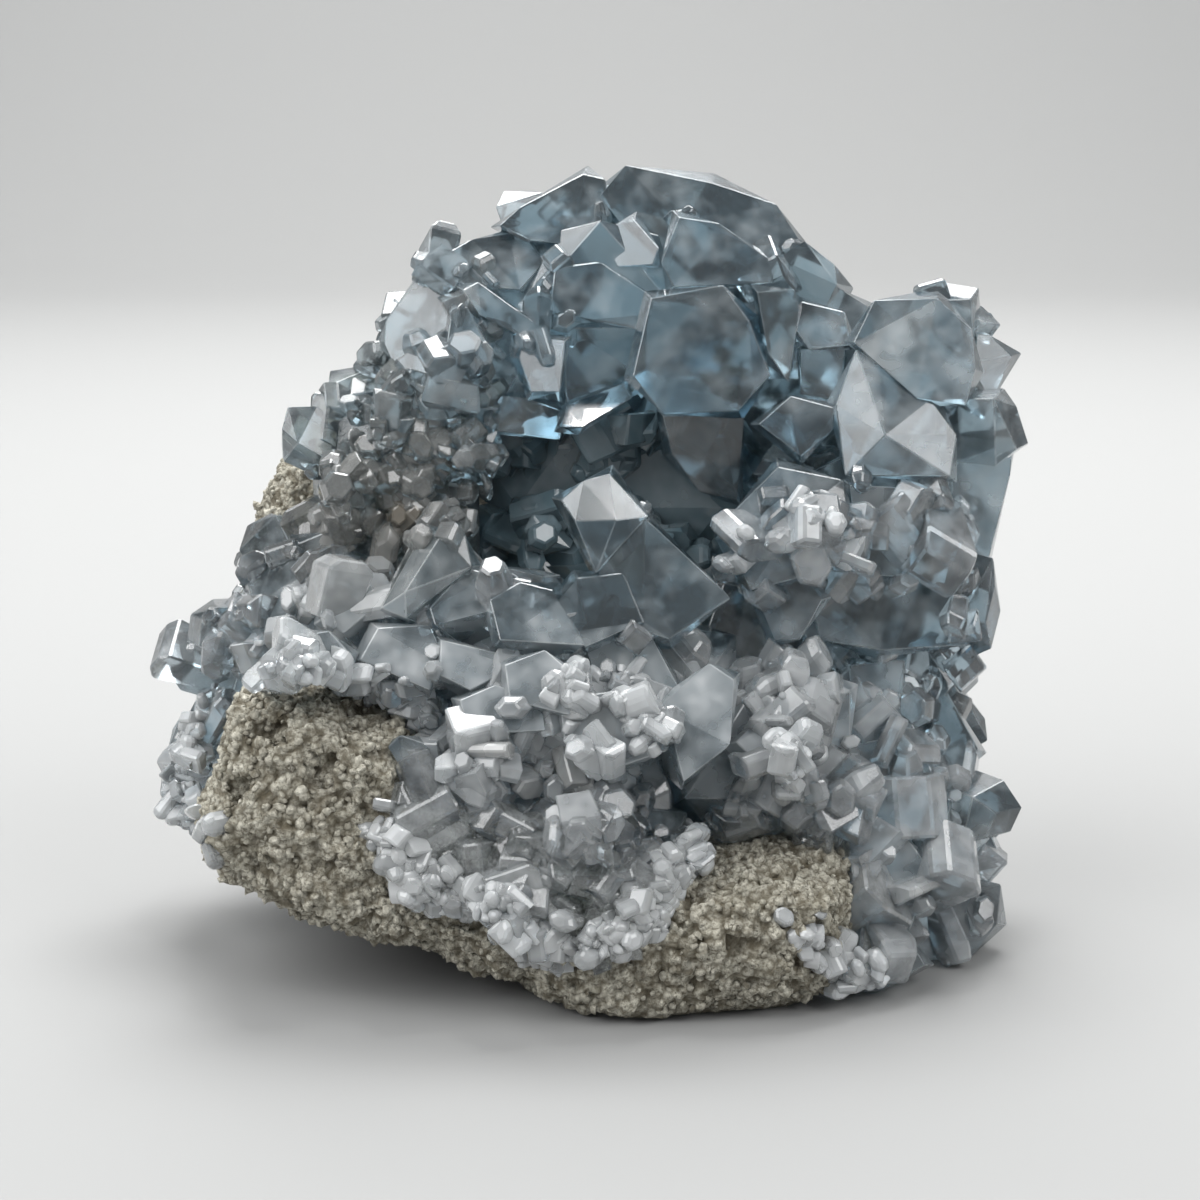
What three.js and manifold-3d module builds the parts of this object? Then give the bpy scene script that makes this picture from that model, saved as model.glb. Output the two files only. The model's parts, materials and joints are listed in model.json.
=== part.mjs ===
// Celestite geode: blue-grey crystals grown on a cream rock matrix, open in front to a small hollow.
// Millimetres, +Z up, +Y to the back. It rests on a flat spot under the matrix.
import * as THREE from "three";
import { ConvexGeometry } from "three/addons/geometries/ConvexGeometry.js";
import { ImprovedNoise } from "three/addons/math/ImprovedNoise.js";
import { mergeVertices } from "three/addons/utils/BufferGeometryUtils.js";
import Module from "manifold-3d";

// Front view in which the large crystals are laid out: its tilt, its distance and the height it looks at.
const VIEW_RISE = THREE.MathUtils.degToRad(12);
const VIEW_DISTANCE = 250;
const VIEW_HEIGHT = 35.6;

// Gaps and cuts.
const CONTACT_GAP = 0.3;
const HOLLOW_GAP = 0.4;
const FLOOR_CLEARANCE = 0.5;
const CUT_SIZE = 300;
const WELD = 0.0005;

// Rock: how square its lumps are, the size of its knobs and pits, and its bedding.
const ROCK_SQUARENESS = 3.8;
const ROCK_ROUGHNESS = 2.4;
const ROCK_GRAIN = 6.5;
const ROCK_BED_STEP = 3.4;
const ROCK_BED_RELIEF = 0.25;
const ROCK_BED_DIP = 0.3;

// Large crystals: how far the body widens behind the face, how far back, and how long the root is.
const BODY_FLARE = 1;
const BODY_DROP = 3;
const ROOT_REACH = 1.25;
const FACE_WANDER = 0.01;
const FACE_SEED = 733;

// Smaller crystals: share of a mass they may stand on, tilt, proportions and the shape of the blunt end.
const FILL_SEED = 20417;
const FILL_SPOTS = 2.2;
const FILL_EDGE = 0.1;
const FILL_TILT = 0.55;
const FILL_WIDTH = 0.62;
const FILL_BREADTH = 0.5;
const FILL_HEIGHT = 0.75;
const FILL_SINK = 0.94;
const FILL_STRETCH = [0.7, 1.3];
const FILL_SHOULDER = [0.5, 0.8];
const ROOT_OVERLAP = 2.2;
const ROOT_WIDTH = 0.9;
const PRISM_SKEW = 0.25;
const END_SHRINK = 0.55;
const END_SLOPE = 0.15;
const MASS_SWELL = 1.12;

const UP = new THREE.Vector3(0, 0, 1);
const BACKWARD = new THREE.Vector3(0, 1, 0);
const GOLDEN_TURN = Math.PI * (3 - Math.sqrt(5));

// Rock lumps: centre, radii, roll about the front-to-back axis and fineness.
const ROCK_LUMPS = [
  { at: [-27, -11, 19.5], radii: [9.5, 9.5, 8.8], roll: 12, detail: 3 },
  { at: [-13, -2, 10.5], radii: [26, 19, 8], roll: 16, detail: 3 },
  { at: [8, -1.5, 6.5], radii: [18, 23.5, 8], roll: -3, detail: 3 },
  { at: [-3, 18, 18], radii: [30, 11, 18.5], roll: 4, detail: 3 },
  { at: [-24, 20, 36], radii: [12, 8, 15], roll: 12, detail: 2 },
  { at: [5, 21, 40], radii: [23, 7, 15], roll: -6, detail: 3 },
];

// Pits broken out of the front of the rock: places across, up and behind the front view, and radii.
const ROCK_PITS = [
  { at: [-33, -13, -15.2], radii: [2.6, 1.6, 1.8] },
  { at: [-28, -17, -16.2], radii: [1.9, 1.6, 2.4] },
  { at: [-24.5, -12, -13.4], radii: [2.2, 1.7, 1.4] },
  { at: [-31, -21, -16.9], radii: [2.8, 1.6, 1.3] },
  { at: [-36, -19, -14.9], radii: [1.5, 1.6, 2.2] },
  { at: [8, -33, -19.4], radii: [2.4, 1.8, 1.9] },
  { at: [14, -35, -19.4], radii: [1.8, 1.8, 2.3] },
  { at: [19, -32, -18.8], radii: [2.2, 1.6, 1.5] },
  { at: [11, -39, -18.2], radii: [2.9, 1.8, 1.2] },
];

// Crystal masses: centre, radii, the crystals that stand on each, their size and the way they face.
const CLUSTER_MASSES = [
  { at: [0, 17, 62], radii: [16, 10, 11], crystals: 6, size: [6, 7.5], facing: [0, 1, -0.1] },
  { at: [-15, 13, 54], radii: [8, 7, 8], crystals: 4, size: [5, 6], facing: [-1, -0.5, 0.1] },
  { at: [17, 14, 57], radii: [8, 8, 8.5], crystals: 3, size: [7, 8], facing: [0.2, 1, 0] },
  { at: [21, 15, 47], radii: [9, 7, 9], crystals: 0, size: [5, 7], facing: [0, 1, 0] },
  { at: [30, 10, 54], radii: [8, 8, 8], crystals: 4, size: [7, 8], facing: [1, 0.9, 0.2] },
  { at: [28, 8, 38], radii: [9, 9, 14], crystals: 4, size: [7, 8], facing: [1, 0.7, 0] },
  { at: [30, 4, 15], radii: [8, 10, 12], crystals: 5, size: [7, 8], facing: [1, 0.4, -0.1] },
  { at: [18, 7, 32], radii: [7, 7, 9], crystals: 0, size: [3, 5], facing: [0, -1, 0] },
  { at: [14, -5, 19], radii: [10, 9, 9], crystals: 4, size: [5, 6], facing: [0, -1, 0.4] },
  { at: [-8, -9, 19], radii: [15, 10, 10], crystals: 2, size: [5, 6], facing: [0, -1, 0] },
  { at: [-2, -13, 13], radii: [11, 10, 7.5], crystals: 6, size: [4.5, 6], facing: [0, -1, -0.1] },
  { at: [2, -5, 29], radii: [12, 7, 7], crystals: 0, size: [4.5, 5.5], facing: [0, -0.3, 1] },
  { at: [-16, -2, 30], radii: [13, 9, 7], crystals: 2, size: [5, 6], facing: [-0.3, -0.3, 1] },
  { at: [-27, 6, 32], radii: [10, 9, 9], crystals: 4, size: [6, 7], facing: [-0.6, -1, 0.5] },
  { at: [-35, 12, 21], radii: [7, 7, 13], crystals: 7, size: [6, 7.5], facing: [-0.8, -1, -0.1] },
  { at: [-21, 10, 44], radii: [9, 7, 12], crystals: 8, size: [5, 6.5], facing: [-0.4, -0.9, 0.4] },
];
const HOLLOW_MASSES = [
  { at: [2, 17, 43], radii: [18, 6, 15], crystals: 6, size: [5, 6], facing: [0, -1, 0.1] },
  { at: [0, 9, 33], radii: [15, 9, 5], crystals: 4, size: [5, 6], facing: [0, -0.6, 1] },
];

// The space at the back of the hollow that its crust fills.
const HOLLOW_BACK = { at: [2, 15, 42], radii: [17, 9, 14] };

// Large crystals: depth and lean of the front face, the way to the root, and the outline of the face as
// places across and up the front view. A ridge stands in front of the face.
const TOP_CRYSTALS = [
  { depth: 7, lean: [0.1, 0.5], root: [-4, -5, 12], outline: [
    [0, 40.4], [2.6, 43.5], [11.3, 41.7], [17.6, 39.6], [20.6, 34.9], [18.8, 31.2], [5, 33.8]] },
  { depth: 1.5, lean: [0.15, 0.25], root: [-2, -2, 12], outline: [
    [7.9, 38.3], [11.9, 37.7], [17.7, 33.5], [17.2, 31.7], [7.4, 31.3], [6.1, 33.8]] },
  { depth: 3, lean: [-0.2, 0.4], root: [0, -3, 9], outline: [
    [0.4, 36.2], [1.5, 37.5], [3.5, 37.9], [5.9, 35.2], [5.3, 33.6], [1.8, 33.4]] },
  { depth: -3, lean: [0.1, -0.05], root: [-2, 0, 15], outline: [
    [5.1, 30.2], [12.3, 31.5], [14.9, 27.9], [17, 22.5], [13.8, 18.9], [6.3, 18.6], [3.3, 22.4]] },
  { depth: -1.5, lean: [0.5, 0], root: [-2, 0, 12], outline: [
    [15.7, 30.8], [19.4, 31.1], [19.9, 29], [18.9, 21.7], [16.8, 24.8]] },
  { depth: 1, lean: [0, -0.25], root: [0, 5, 10], outline: [
    [6.3, 18.4], [14.4, 18.6], [13.7, 10], [10, 10.8], [7.2, 14.5]] },
  { depth: -3.5, lean: [-0.1, 0.3], root: [-2, 3, 12], outline: [
    [15.9, 17.6], [19.1, 20.4], [23.5, 19.2], [23.2, 16.9], [20.1, 14.4]] },
  { depth: -1.5, lean: [-0.3, 0.1], root: [2, 3, 11], outline: [
    [-8.1, 24.2], [-7.5, 26.3], [-3.5, 25.9], [-4, 20.8], [-6.9, 20.8]] },
  { depth: -0.5, lean: [0.1, 0.5], root: [2, -1, 11], outline: [
    [-13.7, 31], [-12.2, 31.8], [-5.5, 27], [-4.8, 24.8], [-12, 28.5]] },
  { depth: -1, lean: [0.1, 0.15], root: [3, 2, 11], outline: [
    [-14.8, 29.1], [-13.3, 29.3], [-11.3, 25.6], [-13.4, 19.5], [-15.9, 21.6]] },
  { depth: 5, lean: [-0.5, 0.2], root: [5, 0, 9], outline: [
    [-17, 33.7], [-21.4, 28], [-21.6, 25.5], [-20, 22.2], [-16, 21.2], [-14.5, 31.5]] },
  { depth: 4, lean: [0, 0.6], root: [2, -3, 10], outline: [
    [-17, 33.7], [-13, 36], [-8, 36.8], [-5.5, 33.8], [-8, 31], [-14, 31.5]] },
  { depth: 6, lean: [0.1, 0.6], root: [1, -4, 11], outline: [
    [-10, 37.5], [-8, 39.3], [-1.7, 42.6], [0.5, 42.1], [1, 38.5], [-2.5, 35.5], [-7, 36]] },
  { depth: 1, lean: [0, 0.9], root: [0, 2, 9], outline: [
    [-3.8, 17.3], [-3.5, 19.5], [2.2, 21.6], [3.2, 20.2], [-1.7, 17.3]] },
  { depth: 3.5, lean: [0.2, -0.2], root: [2, 4, 9], outline: [
    [-11, 20.5], [-7.5, 20.2], [-4, 19], [-4, 16], [-11, 17]] },
  { depth: 3, lean: [0.3, -0.1], root: [0, 2, 9], outline: [
    [-3.5, 25.5], [0, 26.5], [3.5, 22.2], [0, 21.2], [-3.4, 19.8]] },
  { depth: 1, lean: [0.1, 0.3], root: [0, -2, 10], outline: [
    [-4.5, 33.2], [0, 33.8], [5, 30.5], [4, 27], [-5, 29]] },
];

const RIGHT_CRYSTALS = [
  { depth: -3, lean: [0.1, 0.25], root: [-2, -2, 13], outline: [
    [25.4, 25.8], [27.4, 30], [33.7, 30.2], [37.2, 27.1], [37.5, 23.1], [36.6, 19.5], [31.7, 20.2]] },
  { depth: 4, lean: [0.3, 0.1], root: [-5, -1, 6], outline: [
    [37.7, 26.5], [39, 26.5], [41.2, 24.4], [38.8, 19.2], [37.2, 22]] },
  { depth: 3, lean: [0.2, 0], root: [-7, 1, 6], outline: [
    [36.8, 16.8], [38.8, 18.6], [41.3, 16.6], [41, 12.4], [38.8, 3.9], [35.2, 5.9], [35.2, 11.9]] },
  { depth: -4.5, lean: [0.05, 0.2], root: [-1, 0, 13], ridge: [[28.5, 16.5, 2]], outline: [
    [23.6, 19.5], [25.6, 25.1], [33, 20], [35.7, 16.4], [35, 12.4], [24.5, 12.4]] },
  { depth: 5, lean: [0, 0.5], root: [-1, -4, 6], outline: [
    [21.8, 30.2], [23.8, 31.2], [26.8, 29.3], [25.8, 26.5], [22.5, 27]] },
  { depth: 0, lean: [0.1, 0.4], root: [0, -2, 10], outline: [
    [19.5, 30], [24.5, 28.8], [25, 25.5], [21, 25], [19.5, 27]] },
  { depth: 1, lean: [0, 0], root: [0, 0, 9], outline: [[20, 25], [24.5, 25.5], [23.8, 20], [20, 20.5]] },
  { depth: -8, lean: [0.05, 0.1], root: [3, 1, 14], ridge: [[20, 8.5, 1.5]], outline: [
    [12.5, 6.3], [13.1, 8.6], [17.8, 13.3], [24.3, 12], [25, 7], [23, 3], [15.1, 1]] },
  { depth: -4, lean: [0.2, -0.1], root: [-1, 0, 10], outline: [
    [25, 11.5], [35, 11], [35.2, 5.5], [34.5, 2.2], [26, 2.5]] },
  { depth: -2, lean: [0.2, 0], root: [-2, 1, 10], outline: [
    [20.5, 2.5], [34.5, 2], [37, 0], [37, -4.5], [28, -5], [22, -4]] },
  { depth: -7, lean: [0, 0], root: [3, 2, 11], outline: [
    [15.5, 0.8], [20.5, 2.4], [22.2, 0], [20, -4], [17.5, -4]] },
  { depth: -6, lean: [0, 0.1], root: [5, 1, 11], ridge: [[20, -11.5, 1.5]], outline: [
    [14.7, -10.6], [17.7, -5.7], [25, -9], [25, -14.5], [20, -18.8], [16, -17]] },
  { depth: 2, lean: [0.3, 0.1], root: [-4, 0, 9], outline: [
    [30.5, -9], [34.4, -8.6], [37.8, -14.9], [36.4, -17.2], [32, -17]] },
  { depth: 2, lean: [0.3, 0], root: [-5, 1, 9], outline: [
    [32, -17.5], [36.4, -17.2], [39.8, -25.2], [39, -27], [35, -26.8]] },
  { depth: 0, lean: [0.3, -0.1], root: [-4, 3, 10], outline: [
    [33, -27.5], [40.1, -28.4], [39.7, -32.4], [37.2, -35.6], [33, -36.5], [30.5, -33]] },
  { depth: -6, lean: [0, 0], root: [1, 2, 10], outline: [
    [25, -25], [30.5, -23.5], [33, -27], [31, -33], [26.5, -34], [24, -30]] },
  { depth: -9, lean: [0.1, 0], root: [1, 4, 9], outline: [
    [25.5, -34.5], [30.5, -33.2], [32.5, -36.5], [26.1, -40.2], [24.5, -38.5]] },
  { depth: -3, lean: [0.1, 0.1], root: [0, 0, 9], outline: [
    [25, -14.5], [30.5, -13.5], [32, -18], [30.5, -23.5], [26, -24.5], [23.8, -20]] },
  { depth: 0, lean: [0.2, 0], root: [-2, 1, 9], outline: [[25, -6.5], [30.5, -6], [30, -13], [25, -14]] },
];

const LEDGE_CRYSTALS = [
  { depth: -10, lean: [0.1, 0.5], root: [2, -9, 6], ridge: [[-2.5, 7.9, 1.5], [1.6, 8, 2], [4.8, 8.4, 1.2]],
    outline: [[-3.9, 10], [-1.7, 11.9], [1, 12.6], [5.2, 8.2], [-0.4, 2.7]] },
  { depth: -13, lean: [0.1, 0.3], root: [-2, -7, 6], outline: [
    [4.5, 8.2], [13.1, 0.2], [6.9, -3.9], [4.8, -3.2], [-0.2, 2.7]] },
  { depth: -14, lean: [0, 0.3], root: [0, -7, 6], outline: [
    [-2.2, 2.2], [2.3, 2.7], [4.3, -2.2], [-1.5, -4.7], [-5, -1]] },
  { depth: -14.5, lean: [0.05, 0.5], root: [1, -7, 6], outline: [
    [-11, 0], [-8, 1.8], [-4.8, 1], [-1.5, -4.5], [-10, -4]] },
  { depth: -11, lean: [0, 0], root: [-2, -5, 5], outline: [
    [5.4, -3.9], [6.8, -4.1], [9.3, -7.2], [7.9, -8.4]] },
  { depth: 0, lean: [0, 0.1], root: [3, 0, 10], outline: [
    [10.9, -2.6], [12.4, 1.7], [14.9, 1.2], [17.4, -6.1], [13.1, -5.9]] },
  { depth: -17, lean: [0.15, 0.3], root: [-4, -6, 8], outline: [
    [6.3, -10.3], [10.9, -6.3], [13.4, -8], [13, -14.5], [8.4, -18.1]] },
  { depth: -11, lean: [-0.1, 0.3], root: [3, -7, 8], ridge: [[-15.8, 6.6, 1.2], [-19.5, 0.8, 1.5]], outline: [
    [-17.7, 6.7], [-13.5, 6.7], [-12.8, 3.3], [-19.4, -1.8], [-21.9, -0.8]] },
  { depth: -10, lean: [0, 0.3], root: [3, -7, 6], outline: [
    [-26.8, 3], [-22.9, 1.5], [-22.2, -0.4], [-25.7, -3.3], [-27.8, -1.9]] },
  { depth: -12, lean: [0.05, 0.6], root: [2, -7, 6], outline: [
    [-13.3, 3.2], [-9.6, 2.1], [-8.1, -0.4], [-16.5, -2.5], [-17, -0.8]] },
  { depth: -15, lean: [0, 0.5], root: [2, -5, 7], outline: [
    [-15.9, -4], [-10.1, -5.3], [-9.8, -7.3], [-13, -9], [-16, -7.5]] },
  { depth: -15, lean: [0, 0.2], root: [4, -4, 10], outline: [
    [-29.7, -3.5], [-27.1, -3.1], [-25.1, -5.3], [-25.1, -7.6], [-31.7, -7.3]] },
  { depth: -13, lean: [0, 0.3], root: [2, -6, 6], outline: [
    [-22.2, -2.8], [-17, -2.5], [-16, -5], [-17, -9], [-24, -6]] },
  { depth: -15.5, lean: [0, 0.1], root: [3, 0, 8], outline: [
    [-22, -15.5], [-20, -13.5], [-17, -14.5], [-16.8, -22.5], [-20.5, -22]] },
  { depth: -18, lean: [0, 0.3], root: [1, -3, 8], outline: [
    [-14.5, -15.5], [-13, -13.5], [-9, -13.5], [-7.8, -16.5], [-13.5, -18.5]] },
  { depth: -17.5, lean: [0, 0.4], root: [1, -4, 8], outline: [
    [-14, -10], [-10.5, -8.5], [-6, -10], [-5.5, -13], [-13, -13.5]] },
  { depth: -18, lean: [0, 0.3], root: [0, -4, 8], outline: [
    [-9.5, -6.5], [-5.5, -5], [-2, -8], [-3, -11.5], [-9, -10]] },
  { depth: -16, lean: [0, 0.1], root: [0, -2, 8], outline: [
    [-14.5, -19], [-10, -18.8], [-8.5, -21], [-11, -24.5], [-15, -24]] },
  { depth: -18, lean: [0, 0.2], root: [0, -4, 8], outline: [
    [-4, -10], [2, -9], [6.5, -10.5], [6.8, -15], [1, -17], [-3.5, -14.5]] },
  { depth: -14, lean: [0, 0.3], root: [0, -6, 6], outline: [
    [-1.5, -4.5], [4.5, -2.5], [8, -9], [6, -10.5], [0, -9]] },
];

const wasm = await Module();
wasm.setup();
const rockNoise = new ImprovedNoise();
const faceRandom = seededRandom(FACE_SEED);
const fillRandom = seededRandom(FILL_SEED);

// Repeatable random numbers from 0 to 1.
function seededRandom(seed) {
  let state = seed;
  return () => {
    state = (state + 0x6d2b79f5) | 0;
    let mixed = Math.imul(state ^ (state >>> 15), 1 | state);
    mixed = (mixed + Math.imul(mixed ^ (mixed >>> 7), 61 | mixed)) ^ mixed;
    return ((mixed ^ (mixed >>> 14)) >>> 0) / 4294967296;
  };
}

function randomBetween([least, most]) {
  return least + (most - least) * fillRandom();
}

function vector(numbers) {
  return new THREE.Vector3(...numbers);
}

// A random step of up to half a unit each way.
function randomStep(random) {
  return new THREE.Vector3(random() - 0.5, random() - 0.5, random() - 0.5);
}

// A place across, up and behind the front view, as a point of the part.
function fromView(across, up, depth) {
  const spread = 1 + depth / VIEW_DISTANCE;
  const rise = up * spread;
  return new THREE.Vector3(
    across * spread,
    depth * Math.cos(VIEW_RISE) + rise * Math.sin(VIEW_RISE),
    VIEW_HEIGHT + rise * Math.cos(VIEW_RISE) - depth * Math.sin(VIEW_RISE),
  );
}

function toSolid(geometry) {
  geometry.deleteAttribute("normal");
  geometry.deleteAttribute("uv");
  const welded = mergeVertices(geometry, WELD);
  return new wasm.Manifold(new wasm.Mesh({
    numProp: 3,
    vertProperties: new Float32Array(welded.attributes.position.array),
    triVerts: new Uint32Array(welded.index.array),
  }));
}

function toGeometry(solid) {
  const mesh = solid.getMesh();
  const geometry = new THREE.BufferGeometry();
  geometry.setAttribute("position", new THREE.BufferAttribute(new Float32Array(mesh.vertProperties), 3));
  geometry.setIndex(new THREE.BufferAttribute(new Uint32Array(mesh.triVerts), 1));
  const faceted = geometry.toNonIndexed();
  faceted.computeVertexNormals();
  return faceted;
}

function joinAll(solids) {
  return solids.reduce((whole, solid) => whole.add(solid));
}

// The one body that holds most of the stone, without loose chips.
function mainBody(solid) {
  return solid.decompose().reduce((best, body) => (body.volume() > best.volume() ? body : best));
}

// Everything below a level.
function groundBelow(level) {
  const block = new THREE.BoxGeometry(CUT_SIZE, CUT_SIZE, CUT_SIZE);
  block.translate(0, 0, level - CUT_SIZE / 2);
  return toSolid(block);
}

// One rounded block of rock with knobs, pits and bedding ledges.
function rockLump({ at, radii, roll, detail }, grow) {
  const lump = new THREE.IcosahedronGeometry(1, detail);
  const position = lump.attributes.position;
  const rollTurn = new THREE.Quaternion().setFromAxisAngle(BACKWARD, THREE.MathUtils.degToRad(roll));
  for (let index = 0; index < position.count; index += 1) {
    const outward = new THREE.Vector3().fromBufferAttribute(position, index).normalize();
    const powers = outward.toArray().map((part) => Math.abs(part) ** ROCK_SQUARENESS);
    const reach = (powers[0] + powers[1] + powers[2]) ** (-1 / ROCK_SQUARENESS);
    const point = outward.clone().multiplyScalar(reach).multiply(vector(radii));
    point.applyQuaternion(rollTurn).add(vector(at));
    const knob = rockNoise.noise(point.x / ROCK_GRAIN, point.y / ROCK_GRAIN, point.z / ROCK_GRAIN);
    const bed = Math.sin((2 * Math.PI * (point.z + ROCK_BED_DIP * point.x)) / ROCK_BED_STEP);
    point.addScaledVector(outward, ROCK_ROUGHNESS * knob + ROCK_BED_RELIEF * Math.sign(bed) + grow);
    position.setXYZ(index, point.x, point.y, point.z);
  }
  return toSolid(lump);
}

function rockBody(grow) {
  return joinAll(ROCK_LUMPS.map((lump) => rockLump(lump, grow)));
}

function rockPit({ at, radii }) {
  const pit = new THREE.IcosahedronGeometry(1, 0);
  pit.scale(...radii);
  pit.translate(...fromView(...at));
  return toSolid(pit);
}

// The convex block through a set of corners, none of them quite in line with the others.
function convexBlock(corners) {
  for (const corner of corners) {
    corner.addScaledVector(randomStep(faceRandom), FACE_WANDER);
  }
  return new ConvexGeometry(corners);
}

// A large crystal: flat front face, a body that widens behind it and a pointed root.
function largeCrystal({ depth, lean, root, outline, ridge = [] }) {
  const average = (axis) => outline.reduce((sum, corner) => sum + corner[axis], 0) / outline.length;
  const middle = [average(0), average(1)];
  const plane = (across, up) => depth + lean[0] * (across - middle[0]) + lean[1] * (up - middle[1]);
  const corners = [fromView(middle[0] + root[0], middle[1] + root[1], depth + root[2] * ROOT_REACH)];
  outline.forEach(([across, up], index) => {
    const away = new THREE.Vector2(across - middle[0], up - middle[1]);
    const flare = 1 + BODY_FLARE / away.length();
    const face = plane(across, up);
    corners.push(fromView(across, up, face));
    if (index % 2 === 0) {
      corners.push(fromView(middle[0] + away.x * flare, middle[1] + away.y * flare, face + BODY_DROP));
    }
  });
  for (const [across, up, rise] of ridge) {
    corners.push(fromView(across, up, plane(across, up) - rise));
  }
  return toSolid(convexBlock(corners));
}

// A four-sided prism along +Z with a blunt, sloping end.
function bluntPrism(width, breadth, height, shoulder) {
  const corners = [];
  for (const [across, along] of [[1, PRISM_SKEW], [-PRISM_SKEW, 1], [-1, -PRISM_SKEW], [PRISM_SKEW, -1]]) {
    const edge = new THREE.Vector3(across * width, along * breadth, 0);
    corners.push(edge.clone().multiplyScalar(ROOT_WIDTH).setZ(-ROOT_OVERLAP));
    corners.push(edge.clone().setZ(height * shoulder));
    corners.push(edge.clone().multiplyScalar(END_SHRINK).setZ(height * (1 + END_SLOPE * across)));
  }
  return convexBlock(corners);
}

// A mass of crystal with blunt prisms standing over the side it faces.
function crystalMass({ at, radii, crystals, size, facing }) {
  const core = new THREE.IcosahedronGeometry(MASS_SWELL, 0);
  core.scale(...radii);
  core.translate(...at);
  const solids = [toSolid(core)];
  const front = vector(facing).normalize();
  const spots = Math.round(crystals * FILL_SPOTS);
  for (let index = 0; index < spots; index += 1) {
    const height = 1 - (2 * (index + 0.5)) / spots;
    const ring = Math.sqrt(1 - height * height);
    const turn = index * GOLDEN_TURN;
    const outward = new THREE.Vector3(ring * Math.cos(turn), ring * Math.sin(turn), height);
    if (outward.dot(front) < FILL_EDGE) {
      continue;
    }
    const length = randomBetween(size);
    const width = length * FILL_WIDTH * randomBetween(FILL_STRETCH);
    const shoulder = randomBetween(FILL_SHOULDER);
    const prism = bluntPrism(width, length * FILL_BREADTH, length * FILL_HEIGHT, shoulder);
    const axis = outward.clone().divide(vector(radii)).normalize();
    axis.addScaledVector(randomStep(fillRandom), FILL_TILT).normalize();
    prism.rotateZ(2 * Math.PI * fillRandom());
    prism.applyQuaternion(new THREE.Quaternion().setFromUnitVectors(UP, axis));
    prism.translate(...outward.multiply(vector(radii)).multiplyScalar(FILL_SINK).add(vector(at)));
    solids.push(toSolid(prism));
  }
  return solids;
}

function namedMesh(name, solid, material) {
  const mesh = new THREE.Mesh(toGeometry(solid), material);
  mesh.name = name;
  return mesh;
}

function rockMaterial() {
  return new THREE.MeshStandardMaterial({ color: 0x9a9684, roughness: 0.9, metalness: 0 });
}

function crystalMaterial() {
  return new THREE.MeshStandardMaterial({ color: 0x8296a3, roughness: 0.2, metalness: 0 });
}

function crustMaterial() {
  return new THREE.MeshStandardMaterial({ color: 0x5f717b, roughness: 0.3, metalness: 0 });
}

function hollowBack(grow) {
  const block = new THREE.IcosahedronGeometry(1, 0);
  block.scale(...HOLLOW_BACK.radii.map((radius) => radius + grow));
  block.translate(...HOLLOW_BACK.at);
  return toSolid(block);
}

// The crystals sit on the rock, and the crust of the hollow sits behind the cluster.
const broken = joinAll([groundBelow(0), ...ROCK_PITS.map(rockPit)]);
const matrix = mainBody(rockBody(0).subtract(broken));
const rockSeat = rockBody(CONTACT_GAP).add(groundBelow(FLOOR_CLEARANCE));
const largeCrystals = [...TOP_CRYSTALS, ...RIGHT_CRYSTALS, ...LEDGE_CRYSTALS].map(largeCrystal);
const grownTogether = joinAll([...CLUSTER_MASSES.flatMap(crystalMass), ...largeCrystals]);
const cluster = mainBody(grownTogether.subtract(rockSeat).subtract(hollowBack(HOLLOW_GAP)));
const lining = joinAll(HOLLOW_MASSES.flatMap(crystalMass));
const crust = mainBody(lining.intersect(hollowBack(0)).subtract(rockSeat));

const geode = new THREE.Group();
geode.name = "celestite_geode";
geode.add(namedMesh("matrix", matrix, rockMaterial()));
geode.add(namedMesh("crystal_cluster", cluster, crystalMaterial()));
geode.add(namedMesh("hollow_crust", crust, crustMaterial()));

// The origin is the middle of the bottom of the whole specimen's box.
const bounds = new THREE.Box3().setFromObject(geode);
const centre = bounds.getCenter(new THREE.Vector3());
for (const mesh of geode.children) {
  mesh.geometry.translate(-centre.x, -centre.y, -bounds.min.z);
}

export default geode;
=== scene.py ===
import json
import math

import bmesh
import bpy
import numpy as np
from bpy.props import FloatProperty, FloatVectorProperty, IntProperty, PointerProperty
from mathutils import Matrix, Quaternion, Vector, noise
from mathutils.bvhtree import BVHTree

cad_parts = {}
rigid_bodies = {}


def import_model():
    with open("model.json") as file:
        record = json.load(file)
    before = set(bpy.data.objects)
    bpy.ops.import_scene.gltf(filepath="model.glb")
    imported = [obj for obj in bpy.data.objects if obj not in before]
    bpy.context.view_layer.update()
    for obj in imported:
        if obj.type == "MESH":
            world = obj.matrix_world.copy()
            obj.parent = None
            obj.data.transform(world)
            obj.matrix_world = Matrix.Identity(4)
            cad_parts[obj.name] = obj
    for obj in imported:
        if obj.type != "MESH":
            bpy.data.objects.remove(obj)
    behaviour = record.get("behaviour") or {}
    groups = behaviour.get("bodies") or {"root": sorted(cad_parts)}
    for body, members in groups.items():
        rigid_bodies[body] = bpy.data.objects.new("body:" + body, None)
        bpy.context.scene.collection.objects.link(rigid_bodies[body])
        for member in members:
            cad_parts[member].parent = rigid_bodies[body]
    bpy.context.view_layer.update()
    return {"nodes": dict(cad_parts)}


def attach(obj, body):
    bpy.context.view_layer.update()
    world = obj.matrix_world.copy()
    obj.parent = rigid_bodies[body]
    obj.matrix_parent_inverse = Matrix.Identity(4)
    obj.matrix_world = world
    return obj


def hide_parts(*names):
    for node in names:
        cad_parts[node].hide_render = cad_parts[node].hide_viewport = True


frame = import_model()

bl_info = {
    "name": "Celestite geode",
    "version": (1, 0, 0),
    "blender": (4, 5, 0),
    "location": "View3D > Sidebar > Geode",
    "description": "Builds the looks of a celestite geode on its fixed frame",
    "category": "Object",
}

MM = 0.001

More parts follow.
